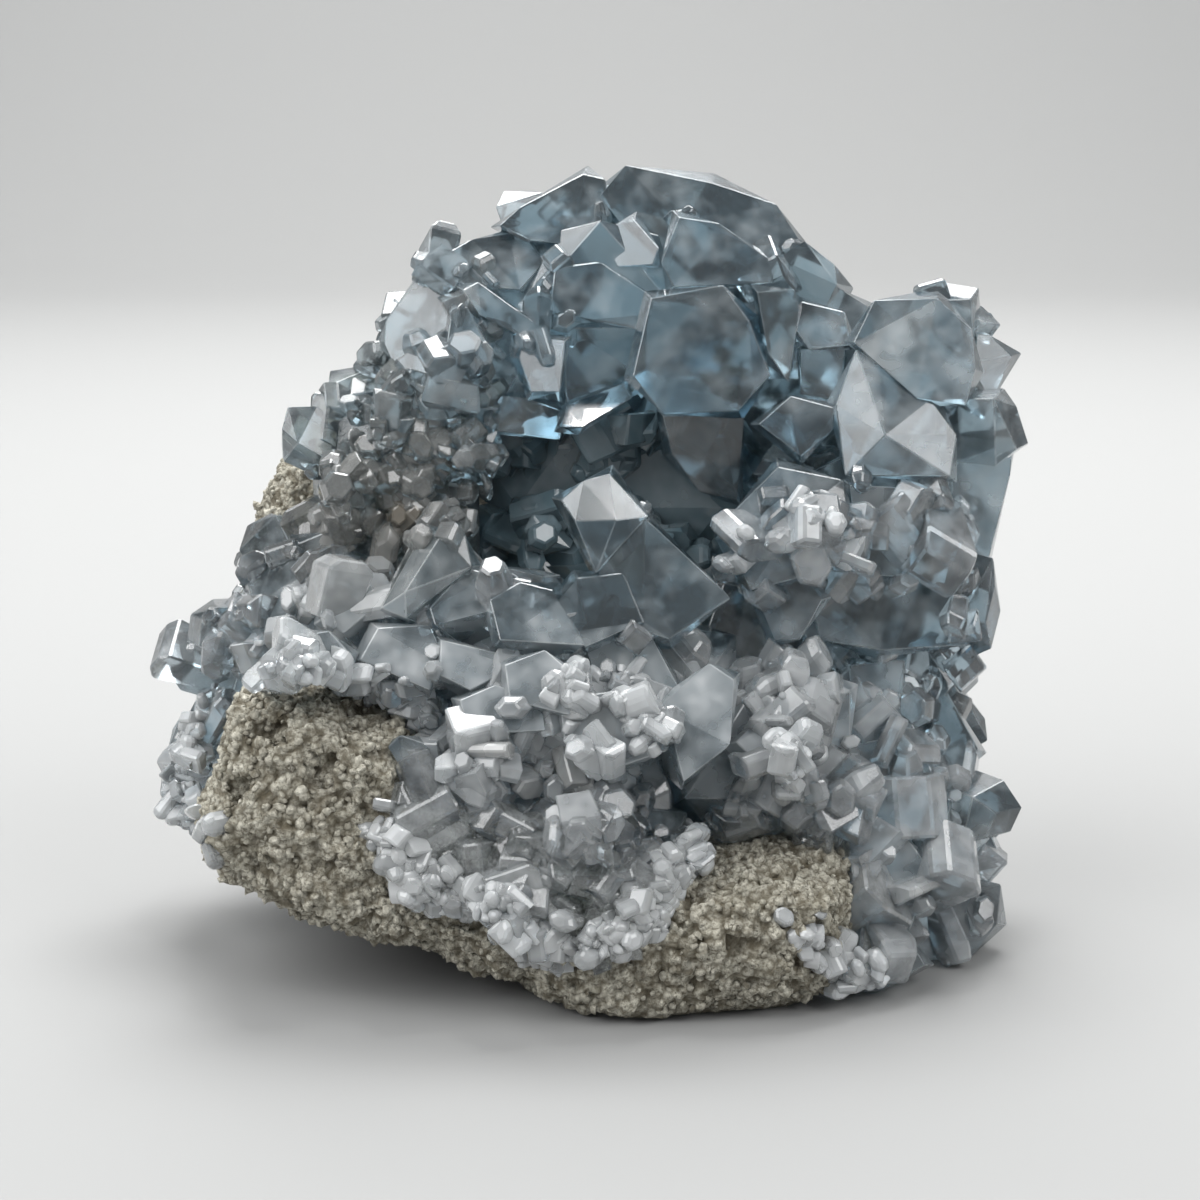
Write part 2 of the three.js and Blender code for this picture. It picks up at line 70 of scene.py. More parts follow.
# The front view: where it looks, its distance and its tilt. Places across and up it are in millimetres.
VIEW_TARGET = Vector((1.46, -3.4, 35.6)) * MM
VIEW_DISTANCE = 250 * MM
VIEW_RISE = math.radians(12)
VIEW_BACK = Vector((0, -math.cos(VIEW_RISE), math.sin(VIEW_RISE)))
VIEW_UP = Vector((0, math.sin(VIEW_RISE), math.cos(VIEW_RISE)))
VIEW_RIGHT = Vector((1, 0, 0))
VIEW_POINT = VIEW_TARGET + VIEW_BACK * VIEW_DISTANCE
CAMERA_LENS = 75
CAMERA_SENSOR = 36

# Patches of milky crystal in the front view: middle, radii and how milky.
MILKY_PATCHES = [
    ((27, 7), (14, 8), 0.35),
    ((21, -11), (9, 9), 0.75),
    ((-4, -11), (16, 8), 0.95),
    ((-4, -24), (18, 9), 0.3),
    ((-28, -5), (7, 5), 0.8),
    ((31, -28), (9, 10), 0.5),
    ((-39, -16), (5, 14), 0.25),
    ((33, 22), (9, 8), 0.3),
    ((-14, 24), (5, 7), 0.2),
    ((-20, -1), (9, 6), 0.5),
    ((-6, 31), (18, 14), 0.08),
]

# Patches of clear, dark crystal in the front view: middle, radii and how much milk is taken away.
CLEAR_PATCHES = [
    ((4, 12), (16, 7), 0.3),
    ((8, 0), (7, 6), 0.4),
    ((-15, 3), (6, 5), 0.25),
]

# Patches of brownish crystal in the front view: middle, radii and how stained.
BROWN_PATCHES = [
    ((-18, 12), (10, 9), 0.5),
    ((-24, 6), (6, 6), 0.3),
]

# Lines of small white crystals in the front view: corners, half width, number and sizes.
WHITE_LINES = [
    ([(-22, -23), (-19, -28), (-13, -30), (-4, -35.5), (5, -32), (9.5, -24)], 1.5, 380, (0.7, 2.0)),
    ([(-33, -6), (-26, -7), (-20, -9), (-17, -12)], 1.2, 100, (0.8, 2.2)),
    ([(-4, -9), (2, -9), (6, -13)], 2.2, 60, (0.9, 2.4)),
    ([(20, -33), (24, -36), (28, -39)], 1.6, 50, (0.8, 2.2)),
    ([(18, -9), (19, -14), (20, -19)], 1.8, 50, (1.0, 2.6)),
    ([(14, 7), (20, 8), (28, 5)], 2.4, 16, (1.0, 2.8)),
    ([(-40, -10), (-42, -18), (-39, -25)], 1.4, 60, (0.8, 2.2)),
]

# Patches crowded with small crystals in the front view: middle, radii, number, sizes and whether they
# also cover the rock.
CROWDED_PATCHES = [
    ((-7, -20), (13, 7), 110, (1.5, 3.6), True),
    ((-3, -28), (10, 6), 210, (1.4, 3.4), True),
    ((-14, -25), (7, 4), 90, (1.3, 2.8), True),
    ((-19, 13), (8, 8), 90, (1.3, 3.2), False),
    ((26, 7), (11, 6), 22, (2.2, 5.0), False),
    ((21, -12), (8, 10), 26, (2.0, 4.8), False),
    ((30, -27), (9, 11), 26, (2.2, 5.0), False),
    ((-13, 31), (7, 6), 9, (1.2, 2.4), False),
    ((-31, 0), (10, 9), 26, (1.8, 4.4), False),
    ((-38, -14), (6, 13), 30, (1.8, 4.4), False),
    ((17, -24), (7, 6), 40, (1.6, 3.8), False),
]

# Patches of the front view where more of the seams stay bare: middle, radii and share left out.
CLEAN_PATCHES = [
    ((8, 30), (17, 16), 0.75),
    ((31, 21), (12, 12), 0.8),
    ((5, 8), (12, 12), 0.6),
    ((-12, 1), (14, 7), 0.4),
]

# How a solid is cleaned, and the angles at which its inner corners are seams and its outer ones are worn.
WELD_DISTANCE = 0.002 * MM
FLAT_ANGLE = math.radians(1.5)
SEAM_ANGLE = math.radians(15)
WORN_ANGLE = math.radians(18)

# Milk and stain in the crystals: how much there is everywhere and at most, the size and depth of their
# clouds, how far back the patches of the front view reach, and the share that each kind of crystal takes on.
EVEN_MILK, MOST_MILK = 0.12, 0.85
VEIL_SIZE, VEIL_DEPTH = 7 * MM, 0.3
STAIN_SIZE, STAIN_START = 3 * MM, 0.25
FRONT_REACH = 20 * MM
LARGE_MILK, SMALL_MILK = 0.62, 0.72
LARGE_STAIN = 0.6
DRUSE_MILK = (0.45, 1.0)
CRUST_MILK = (0, 0.25)

# Small crystals: how many shapes there are, their proportions to a length of 1, and how worn they are.
KIND_COUNT = 14
BLADE_WIDTHS, BLADE_THICKNESSES = (0.46, 0.74), (0.55, 0.95)
BLADE_END_WIDTHS, BLADE_END_THICKNESSES = (0.7, 0.92), (0.2, 0.7)
PRISM_WIDTHS, PRISM_FLATNESS, PRISM_ENDS = (0.46, 0.7), 0.85, (0.45, 0.8)
SHOULDERS, END_LEANS = (0.5, 0.85), (-0.3, 0.3)
ROOT_DEPTH, ROOT_WIDTH = -0.5, 0.85
STRETCHES = (0.75, 1.3)
CRYSTAL_WEAR, DRUSE_WEAR, GRAIN_WEAR = 0.05, 0.09, 0.3

# How the small crystals stand: lengths in millimetres, how far they lean, the share of their length that is
# sunk, the share of the seams that is bare and the lowest places above the table.
SEAM_LENGTHS, SEAM_LEAN, CROWD_LEAN = (1.2, 3.8), 0.35, 0.45
CRYSTAL_SINK, DRUSE_SINK = 0.3, 0.15
BARE_SEAMS = 0.25
DRUSE_LEAN, DRUSE_SCATTER = 0.5, 0.6
CRYSTAL_FLOOR, DRUSE_FLOOR = 3 * MM, 2 * MM

# How pale the small crystals are, and how that fades for each millimetre above a line of the front view.
PALE_LEAST, PALE_MOST, PALE_FADE, PALE_LINE = 0.2, 0.9, 0.05, 4

# Crystals of the hollow's crust: lengths in millimetres, lean, square millimetres for each one on a face, and
# how far a face may look to the back.
CRUST_SEAM_LENGTHS, CRUST_FACE_LENGTHS = (1.2, 3.4), (2.0, 5.0)
CRUST_LEAN, CRUST_SHARE, CRUST_BACK = 0.4, 8, 0.1

# The rock's relief: the size of each form and how far it stands out or goes in, in millimetres.
LUMP_SIZE, LUMP_RISE = 5.5, 0.7
CRUMB_SIZE, CRUMB_RISE = 1.6, 0.5
HOLE_SIZE, HOLE_DEPTH, HOLE_REACH = 2.1, 3.0, 0.34
KNOB_SIZE, KNOB_RISE = 1.3, 0.9
BED_SIZE, BED_RISE, BED_SLOPE, BED_STRETCH, BED_WAVE = 0.55, 0.3, 0.28, 0.12, 0.8
SETTLE_HEIGHT = 1.5 * MM

# Where the relief shows: beds on undersides, holes in the lumps, and how dark the rock is in and by them.
BED_SHOWS, BED_FADES = 0.6, 1.5
HOLE_SHOWS, HOLE_GATHERS = 0.6, 1.6
PIT_EVERYWHERE, PIT_IN_HOLES, PIT_BY_CRUMBS = 0.22, 4.0, 0.9

# Grains on the rock: sizes in millimetres, milk and stain, the lowest place, how far they keep from crystals
# and how much of a grain a missed place counts as, so that the count always ends.
GRAIN_SIZES, GRAIN_MILK, GRAIN_STAIN = (0.4, 1.1), (0, 0.5), (0, 0.2)
GRAIN_FLOOR, GRAIN_GAP = 1.2 * MM, 0.5 * MM
MISSED_GRAIN = 0.1

# Sizes of the patterns in the materials, in repeats for each metre.
VEIL_SCALE = 240
PACKED_GRAIN_SCALE = 1250
BLOTCH_SCALE = 150
CRUMB_SCALE = 3200

# Lights of the stage: name, place, target, size in metres and power in watts.
GEODE_MIDDLE = (0, 0, 0.035)
LIGHTS = [
    ("overhead_light", (0.04, 0.36, 0.62), GEODE_MIDDLE, 0.55, 4.6),
    ("glint_light", (0.018, 0.052, 0.62), GEODE_MIDDLE, 0.05, 0.28),
    ("left_light", (-0.48, -0.26, 0.58), GEODE_MIDDLE, 0.70, 5.2),
    ("right_light", (0.50, -0.30, 0.50), GEODE_MIDDLE, 0.40, 2.0),
    ("backdrop_light", (0, 0.55, 1.0), (0, 1.2, 0.30), 0.80, 10.5),
]
ROOM_COLOUR, ROOM_STRENGTH = (0.80, 0.82, 0.84, 1), 0.39
PAPER_COLOUR, PAPER_ROUGHNESS = (0.385, 0.387, 0.383, 1), 0.75


class GeodeSettings(bpy.types.PropertyGroup):
    """Sizes and colours of the geode."""

    crystal_colour: FloatVectorProperty(
        name="Crystal colour", description="Body colour of the clear crystals",
        default=(0.33, 0.435, 0.49), size=3, min=0, max=1, subtype="COLOR")
    small_colour: FloatVectorProperty(
        name="Small crystal colour", description="Body colour of the small clear crystals",
        default=(0.86, 0.905, 0.93), size=3, min=0, max=1, subtype="COLOR")
    # Painted shade: the crust's crystals are mixed toward this dark teal for the shade in the hollow.
    hollow_shade_colour: FloatVectorProperty(
        name="Hollow shade colour", description="Deep colour of the crystals in the hollow",
        default=(0.07, 0.17, 0.21), size=3, min=0, max=1, subtype="COLOR")
    # Also the colour of the painted highlight on the bevel faces along the edges.
    milk_and_highlight_colour: FloatVectorProperty(
        name="Milky colour", description="Colour of the milky parts of the crystals",
        default=(0.88, 0.905, 0.915), size=3, min=0, max=1, subtype="COLOR")
    brown_colour: FloatVectorProperty(
        name="Stain colour", description="Colour of the brownish stain on the small crystals",
        default=(0.36, 0.32, 0.26), size=3, min=0, max=1, subtype="COLOR")
    absorb_colour: FloatVectorProperty(
        name="Depth colour", description="Colour that light takes on inside the crystals",
        default=(0.48, 0.62, 0.69), size=3, min=0, max=1, subtype="COLOR")
    absorb_density: FloatProperty(
        name="Depth density", description="How strongly the crystals colour light, per metre",
        default=85.0, min=0)
    rock_colour: FloatVectorProperty(
        name="Rock colour", description="Colour of the dry rock",
        default=(0.48, 0.455, 0.37), size=3, min=0, max=1, subtype="COLOR")
    rock_dark: FloatVectorProperty(
        name="Rock pit colour", description="Colour of the pits of the rock",
        default=(0.15, 0.13, 0.09), size=3, min=0, max=1, subtype="COLOR")
    rock_pale: FloatVectorProperty(
        name="Rock crust colour", description="Colour of the pale grains of the rock",
        default=(0.80, 0.77, 0.66), size=3, min=0, max=1, subtype="COLOR")
    edge_width: FloatProperty(
        name="Edge width", description="Width of the worn edges of the large crystals",
        default=0.09 * MM, min=0, subtype="DISTANCE", unit="LENGTH")
    rock_step: FloatProperty(
        name="Rock step", description="Size of the facets of the rock's surface",
        default=0.46 * MM, min=0.1 * MM, subtype="DISTANCE", unit="LENGTH")
    seam_spacing: FloatProperty(
        name="Seam spacing", description="Distance between small crystals along the seams",
        default=2.6 * MM, min=0.2 * MM, subtype="DISTANCE", unit="LENGTH")
    grain_count: IntProperty(
        name="Rock grains", description="Number of grains on the bare rock", default=8000, min=0)
    seed: IntProperty(name="Seed", description="Start of the random numbers", default=7)


def settings():
    """The sizes and colours that the user has set."""
    return bpy.context.scene.geode


def to_view(point):
    """Places across and up the front view, in millimetres."""
    away = point - VIEW_POINT
    depth = -away.dot(VIEW_BACK)
    scale = VIEW_DISTANCE / depth
    return away.dot(VIEW_RIGHT) * scale / MM, away.dot(VIEW_UP) * scale / MM


def view_ray(across, up):
    """The direction from the view point through a place of the front view."""
    aim = VIEW_TARGET + VIEW_RIGHT * across * MM + VIEW_UP * up * MM
    return (aim - VIEW_POINT).normalized()


def patch_weight(patches, across, up):
    """How strong some patches are at a place of the front view. They fade out from their middles."""
    total = 0.0
    for (middle_across, middle_up), (radius_across, radius_up), strength in patches:
        reach = ((across - middle_across) / radius_across) ** 2 + ((up - middle_up) / radius_up) ** 2
        total += strength * max(0.0, 1.0 - 0.5 * reach)
    return total


def milkiness(point):
    """How milky the crystal is at a point. The patches of the front view end at its far side."""
    across, up = to_view(point)
    veil = noise.fractal(point / VEIL_SIZE, 1.0, 2.0, 3) * VEIL_DEPTH
    value = EVEN_MILK + veil
    if point.y < FRONT_REACH:
        value += patch_weight(MILKY_PATCHES, across, up) - patch_weight(CLEAR_PATCHES, across, up)
    return min(MOST_MILK, max(0.0, value))


def staining(point):
    """How brown the crystal is at a point, from 0 to 1."""
    across, up = to_view(point)
    spots = max(0.0, noise.noise(point / STAIN_SIZE) - STAIN_START)
    return min(1.0, patch_weight(BROWN_PATCHES, across, up) + spots)


def welded(node):
    """A bmesh of a CAD node with its corners joined and its flat faces whole."""
    mesh = bmesh.new()
    mesh.from_mesh(frame["nodes"][node].data)
    bmesh.ops.remove_doubles(mesh, verts=mesh.verts, dist=WELD_DISTANCE)
    bmesh.ops.dissolve_limit(
        mesh, angle_limit=FLAT_ANGLE, verts=mesh.verts, edges=mesh.edges, delimit=set())
    mesh.normal_update()
    return mesh


def surface_tree(nodes, heap=None):
    """A search tree over the faces of some CAD nodes and of a heap of crystals."""
    points = []
    faces = []
    for node in nodes:
        data = frame["nodes"][node].data
        start = len(points)
        points.extend(v.co.copy() for v in data.vertices)
        faces.extend([start + i for i in p.vertices] for p in data.polygons)
    for corners, rings, _ in heap.grown if heap else ():
        start = len(points)
        points.extend(Vector(corner) for corner in corners)
        faces.extend([start + i for i in ring] for ring in rings)
    return BVHTree.FromPolygons(points, faces)


def new_piece(name, mesh, material, node=None):
    """Adds a finished piece, pressed flat where it meets the table."""
    places = np.empty(len(mesh.vertices) * 3)
    mesh.vertices.foreach_get("co", places)
    places[2::3] = np.maximum(places[2::3], 0)
    mesh.vertices.foreach_set("co", places)
    mesh.update()
    piece = bpy.data.objects.new(name, mesh)
    bpy.context.scene.collection.objects.link(piece)
    mesh.materials.append(material)
    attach(piece, "root")
    if node:
        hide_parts(node)
    return piece


def face_values(mesh, name, values):
    """Stores a value on each face for the materials to read."""
    layer = mesh.attributes.new(name, "FLOAT", "FACE")
    layer.data.foreach_set("value", np.asarray(values, dtype=np.float32))


def smooth(mesh):
    """Shades a mesh as a rounded surface."""
    for polygon in mesh.polygons:
        polygon.use_smooth = True


def shaped_mesh(name, piece):
    """The mesh of a piece after its modifiers, with no materials on it."""
    shaped = piece.evaluated_get(bpy.context.evaluated_depsgraph_get())
    mesh = bpy.data.meshes.new_from_object(shaped)
    mesh.name = name
    mesh.materials.clear()
    mesh.polygons.foreach_set("material_index", np.zeros(len(mesh.polygons), dtype=np.int32))
    return mesh


def discard(piece):
    """Takes a helper object away, with its mesh."""
    mesh = piece.data
    bpy.data.objects.remove(piece)
    bpy.data.meshes.remove(mesh)


def corners_and_faces(shape):
    """The corners of a bmesh and the rings of its faces. The bmesh is freed."""
    shape.verts.index_update()
    corners = np.array([v.co for v in shape.verts])
    faces = [[v.index for v in face.verts] for face in shape.faces]
    shape.free()
    return corners, faces


def blade_outline(random):
    """The outline of a flat four-sided crystal, and how far it closes to its chisel end."""
    wide = random.uniform(*BLADE_WIDTHS)
    thick = wide * random.uniform(*BLADE_THICKNESSES)
    ring = [(wide, thick), (-wide, thick), (-wide, -thick), (wide, -thick)]
    return ring, (random.uniform(*BLADE_END_WIDTHS), random.uniform(*BLADE_END_THICKNESSES))


def prism_outline(random):
    """The outline of a six-sided crystal, and how far it closes to its blunt end."""
    wide = random.uniform(*PRISM_WIDTHS)
    turns = [math.pi * i / 3 for i in range(6)]
    ring = [(wide * math.cos(turn), wide * PRISM_FLATNESS * math.sin(turn)) for turn in turns]
    shrink = random.uniform(*PRISM_ENDS)
    return ring, (shrink, shrink)


def unit_crystal(random, wear):
    """One blocky crystal along +Z with a chisel or blunt end and worn edges: its corners and faces."""
    outline = blade_outline if random.random() < 0.5 else prism_outline
    ring, close = outline(random)
    shoulder = random.uniform(*SHOULDERS)
    lean = random.uniform(*END_LEANS), random.uniform(*END_LEANS)
    shape = bmesh.new()
    levels = []
    for level, grow in ((ROOT_DEPTH, (ROOT_WIDTH, ROOT_WIDTH)), (shoulder, (1, 1)), (1, close)):
        spots = [(x * grow[0], y * grow[1]) for x, y in ring]
        levels.append([shape.verts.new((x, y, level + lean[0] * x + lean[1] * y)) for x, y in spots])
    shape.faces.new(levels[0][::-1])
    shape.faces.new(levels[-1])
    for low, high in zip(levels, levels[1:]):
        for i in range(len(ring)):
            j = (i + 1) % len(ring)
            shape.faces.new((low[i], low[j], high[j], high[i]))
    edges = [edge for edge in shape.edges if max(v.co.z for v in edge.verts) > 0]
    bmesh.ops.bevel(
        shape, geom=edges, offset=wear, segments=1, profile=0.5, affect="EDGES", clamp_overlap=True)
    return corners_and_faces(shape)


def unit_grain(random, wear):
    """One rounded grain of rock: its corners and faces."""
    shape = bmesh.new()
    bmesh.ops.create_icosphere(shape, subdivisions=1, radius=0.5)
    for vertex in shape.verts:
        vertex.co *= 1 + random.uniform(-wear, wear)
    return corners_and_faces(shape)


class CrystalHeap:
    """Collects small crystals or grains, each with its corners, faces and values."""

    def __init__(self, seed, kind, wear):
        self.random = np.random.default_rng(seed)
        self.kinds = [kind(self.random, wear) for _ in range(KIND_COUNT)]
        self.grown = []

    def grow(self, place, axis, length, values, sink=CRYSTAL_SINK):
        """Adds a crystal that stands out along an axis."""
        random = self.random
        corners, faces = self.kinds[random.integers(len(self.kinds))]
        turn = axis.to_track_quat("Z", "X") @ Quaternion((0, 0, 1), random.uniform(0, 2 * math.pi))
        stretch = random.uniform(*STRETCHES, 3)
        turned = ((corners * stretch - (0, 0, sink)) * length) @ np.array(turn.to_matrix()).T
        self.grown.append((turned + np.array(place), faces, values))


def plain_mesh(name, grown):
    """One mesh of crystals or grains, with their values on its faces."""
    points, faces = [], []
    columns = {key: [] for key in grown[0][2]}
    start = 0
    for corners, rings, values in grown:
        points.extend(corners.tolist())
        faces.extend([start + i for i in ring] for ring in rings)
        start += len(corners)
        for key, value in values.items():
            columns[key].extend([value] * len(rings))
    mesh = bpy.data.meshes.new(name)
    mesh.from_pydata(points, [], faces)
    mesh.update()
    for key, column in columns.items():
        face_values(mesh, key, column)
    return mesh


def fused(name, base, heaps):
    """One closed mesh of a base and the crystals grown on it, with no walls left inside."""
    scene = bpy.context.scene
    growth = bpy.data.collections.new("growth")
    scene.collection.children.link(growth)
    for heap in heaps:
        for crystal in heap.grown:
            growth.objects.link(bpy.data.objects.new("crystal", plain_mesh("crystal", [crystal])))
    body = bpy.data.objects.new("body", base)
    scene.collection.objects.link(body)
    union = body.modifiers.new("Union", "BOOLEAN")
    union.operation = "UNION"
    union.solver = "MANIFOLD"
    union.operand_type = "COLLECTION"
    union.collection = growth
    mesh = shaped_mesh(name, body)
    if len(mesh.polygons) <= len(base.polygons):
        raise RuntimeError(f"The small crystals of {name} could not be joined to it")
    for piece in list(growth.objects) + [body]:
        discard(piece)
    bpy.data.collections.remove(growth)
    return mesh


def node_tree(name):
    """A new material, with its nodes, its shader and its output."""
    material = bpy.data.materials.new(name)
    material.use_nodes = True
    tree = material.node_tree
    shader = tree.nodes["Principled BSDF"]
    output = tree.nodes["Material Output"]
    return material, tree, shader, output


def add_node(tree, kind, **values):
    """A new node with some of its own values set."""
    node = tree.nodes.new(kind)
    for key, value in values.items():
        setattr(node, key, value)
    return node


def feed(tree, value, socket):
    """Gives a socket a value: another node's output, a number or a colour."""
    if isinstance(value, bpy.types.NodeSocket):
        tree.links.new(value, socket)
    elif isinstance(value, (int, float)):
        socket.default_value = value
    else:
        socket.default_value = (*value[:3], 1)


def mix_colour(tree, share, first, second):
    """The first colour mixed with a share of the second."""
    node = add_node(tree, "ShaderNodeMix", data_type="RGBA")
    for socket, value in ((node.inputs[0], share), (node.inputs[6], first), (node.inputs[7], second)):
        feed(tree, value, socket)
    return node.outputs[2]


def worked_out(tree, operation, first, second):
    """The result of an operation on two values. A sum stays between 0 and 1."""
    node = add_node(tree, "ShaderNodeMath", operation=operation)
    for socket, value in zip(node.inputs, (first, second)):
        feed(tree, value, socket)
    node.use_clamp = operation == "ADD"
    return node.outputs[0]


def spread(tree, value, span, new_span):
    """A value moved from one span to another, and held inside it."""
    node = add_node(tree, "ShaderNodeMapRange")
    tree.links.new(value, node.inputs[0])
    for socket, number in zip(node.inputs[1:5], (*span, *new_span)):
        socket.default_value = number
    return node.outputs[0]


def object_noise(tree, scale, detail, roughness):
    """Cloudy noise that stays with the object."""
    place = add_node(tree, "ShaderNodeTexCoord")
    texture = add_node(tree, "ShaderNodeTexNoise")
    texture.inputs["Scale"].default_value = scale
    texture.inputs["Detail"].default_value = detail
    texture.inputs["Roughness"].default_value = roughness
    tree.links.new(place.outputs["Object"], texture.inputs["Vector"])
    return texture.outputs[0]


def attribute(tree, name):
    """A value that the mesh holds."""
    return add_node(tree, "ShaderNodeAttribute", attribute_name=name).outputs["Fac"]


def crystal_material(name, shade, clear_share, milky_share):
    """Clear to milky crystal with glossy faces and inner veils. A share given by shade is painted shade: the
    body colour is mixed toward the dark colour of the hollow's shade.
    """
    values = settings()
    material, tree, shader, output = node_tree(name)
    stain = attribute(tree, "stain")
    veil = object_noise(tree, VEIL_SCALE, 2, 0.65)
    milk_and_edge_highlight = worked_out(tree, "ADD", attribute(tree, "milk"), spread(tree, veil, (0.35, 0.75), (-0.22, 0.34)))
    # Painted highlight, partly frosted wear: the bevel faces along the edges are made paler and milkier.
    milk_and_edge_highlight = worked_out(tree, "ADD", milk_and_edge_highlight, worked_out(tree, "MULTIPLY", attribute(tree, "edge"), 0.22))
    clear = mix_colour(tree, attribute(tree, "pale"), values.crystal_colour, values.small_colour)
    body = mix_colour(tree, milk_and_edge_highlight, clear, values.milk_and_highlight_colour)
    body = mix_colour(tree, stain, body, values.brown_colour)
    # Painted shade: shade mixes the body colour toward the dark hollow shade colour.
    body = mix_colour(tree, shade, body, values.hollow_shade_colour)
    tree.links.new(body, shader.inputs["Base Color"])
    through = spread(tree, milk_and_edge_highlight, (0.0, 0.9), (clear_share, milky_share))
    through = worked_out(tree, "SUBTRACT", through, worked_out(tree, "MULTIPLY", stain, 0.35))
    tree.links.new(through, shader.inputs["Transmission Weight"])
    haze = spread(tree, attribute(tree, "pale"), (0, 1), (0.17, 0.1))
    rough = worked_out(tree, "ADD", haze, spread(tree, milk_and_edge_highlight, (0, 0.8), (0, 0.2)))
    tree.links.new(rough, shader.inputs["Roughness"])
    shader.inputs["IOR"].default_value = 1.62
    shader.inputs["Coat Weight"].default_value = 0.7
    shader.inputs["Coat Roughness"].default_value = 0.03
    shader.inputs["Coat IOR"].default_value = 1.5
    depth = add_node(tree, "ShaderNodeVolumeAbsorption")
    depth.inputs["Color"].default_value = (*values.absorb_colour, 1)
    depth.inputs["Density"].default_value = values.absorb_density
    tree.links.new(depth.outputs[0], output.inputs["Volume"])
    return material


def rock_material():
    """Dry marl of packed grains: pale and dark grains with dark gaps, brown pits and pale blotches."""
    values = settings()
    material, tree, shader, _ = node_tree("matrix_rock")
    place = add_node(tree, "ShaderNodeTexCoord")
    cells = add_node(tree, "ShaderNodeTexVoronoi")
    cells.inputs["Scale"].default_value = PACKED_GRAIN_SCALE
    tree.links.new(place.outputs["Object"], cells.inputs["Vector"])
    gap = cells.outputs["Distance"]
    tone = add_node(tree, "ShaderNodeSeparateColor")
    tree.links.new(cells.outputs["Color"], tone.inputs[0])
    blotch = object_noise(tree, BLOTCH_SCALE, 2, 0.6)
    crumb = object_noise(tree, CRUMB_SCALE, 2, 0.75)
    pit = worked_out(tree, "ADD", attribute(tree, "pit"), attribute(tree, "stain"))
    body = mix_colour(tree, tone.outputs[0], values.rock_colour, values.rock_pale)
    body = mix_colour(tree, spread(tree, blotch, (0.4, 0.65), (0, 0.6)), body, values.rock_pale)
    body = mix_colour(tree, spread(tree, crumb, (0.35, 0.55), (0.7, 0)), body, values.rock_dark)
    body = mix_colour(tree, spread(tree, gap, (0.4, 0.8), (0, 0.85)), body, values.rock_dark)
    body = mix_colour(tree, attribute(tree, "milk"), body, values.rock_pale)
    body = mix_colour(tree, pit, body, values.rock_dark)
    tree.links.new(body, shader.inputs["Base Color"])
    tree.links.new(spread(tree, crumb, (0.3, 0.7), (0.95, 0.7)), shader.inputs["Roughness"])
    shader.inputs["Specular IOR Level"].default_value = 0.3
    bump = add_node(tree, "ShaderNodeBump")
    bump.inputs["Strength"].default_value = 1.0
    bump.inputs["Distance"].default_value = 0.7 * MM
    grain = spread(tree, gap, (0, 0.9), (0.6, 0))
    relief = worked_out(tree, "ADD", grain, worked_out(tree, "MULTIPLY", crumb, 0.4))
    tree.links.new(relief, bump.inputs["Height"])
    tree.links.new(bump.outputs[0], shader.inputs["Normal"])
    return material


def seam_seeds(mesh, spacing, random):
    """Places along the inner corners of a mesh, where small crystals start, and the way out of each."""
    seeds = []
    for edge in mesh.edges:
        if len(edge.link_faces) != 2 or edge.is_convex:
            continue
        if edge.calc_face_angle(0) < SEAM_ANGLE:
            continue
        outward = (edge.link_faces[0].normal + edge.link_faces[1].normal).normalized()
        first, second = (v.co for v in edge.verts)
        count = edge.calc_length() / spacing
        count = int(count) + (1 if random.random() < count % 1 else 0)
        for _ in range(count):
            seeds.append((first.lerp(second, random.random()), outward))
    return seeds


def tilted(axis, amount, random):
    """A direction near an axis."""
    shake = Vector(random.normal(0, amount, 3))
    return (axis + shake).normalized()


def worn_and_highlit_edges(mesh, width):
    """Bevels the outer corners of the crystals, except by very short edges, and marks the new faces. The
    material paints these faces paler: partly frosted wear, partly painted highlight along the edges.
    """
    layer = mesh.faces.layers.float.new("edge")
    short = set()
    for edge in mesh.edges:
        if edge.calc_length() < 4 * width:
            short.update(edge.verts)
    chosen = [
        edge for edge in mesh.edges
        if len(edge.link_faces) == 2 and edge.is_convex and edge.calc_face_angle(0) > WORN_ANGLE
        and not short.intersection(edge.verts)]
    made = bmesh.ops.bevel(
        mesh, geom=chosen, offset=width, offset_type="OFFSET", segments=1, profile=0.5, affect="EDGES",
        clamp_overlap=False)
    for face in made["faces"]:
        face[layer] = 1.0


def triangle_base(name, shape):
    """A mesh of the triangles of a bmesh. The bmesh is freed."""
    bmesh.ops.triangulate(shape, faces=shape.faces)
    base = bpy.data.meshes.new(name)
    shape.to_mesh(base)
    shape.free()
    return base


def rock_relief(point, upward):
    """How far the rock stands out at a point, in millimetres, and how deep in a pit the point is."""
    lumps = noise.fractal(point / (LUMP_SIZE * MM), 1.0, 2.0, 4)
    crumbs = noise.fractal(point / (CRUMB_SIZE * MM), 0.3, 2.1, 4)
    cells = noise.voronoi(point / (HOLE_SIZE * MM))[0]
    knobs = noise.voronoi(point / (KNOB_SIZE * MM))[0]
    bed = point.z + BED_SLOPE * point.x + BED_WAVE * MM * lumps
    ridge = noise.noise(Vector((point.x * BED_STRETCH, point.y * BED_STRETCH, bed)) / (BED_SIZE * MM))
    under = max(0.0, min(1.0, BED_SHOWS - upward * BED_FADES))
    hole = max(0.0, HOLE_REACH - cells[0]) * max(0.0, HOLE_SHOWS + HOLE_GATHERS * lumps)
    move = LUMP_RISE * lumps + CRUMB_RISE * crumbs + BED_RISE * ridge * under
    move = move - HOLE_DEPTH * hole + KNOB_RISE * (0.5 - knobs[0])
    pit = PIT_EVERYWHERE + PIT_IN_HOLES * hole - PIT_BY_CRUMBS * crumbs
    return move, min(1.0, max(0.0, pit))


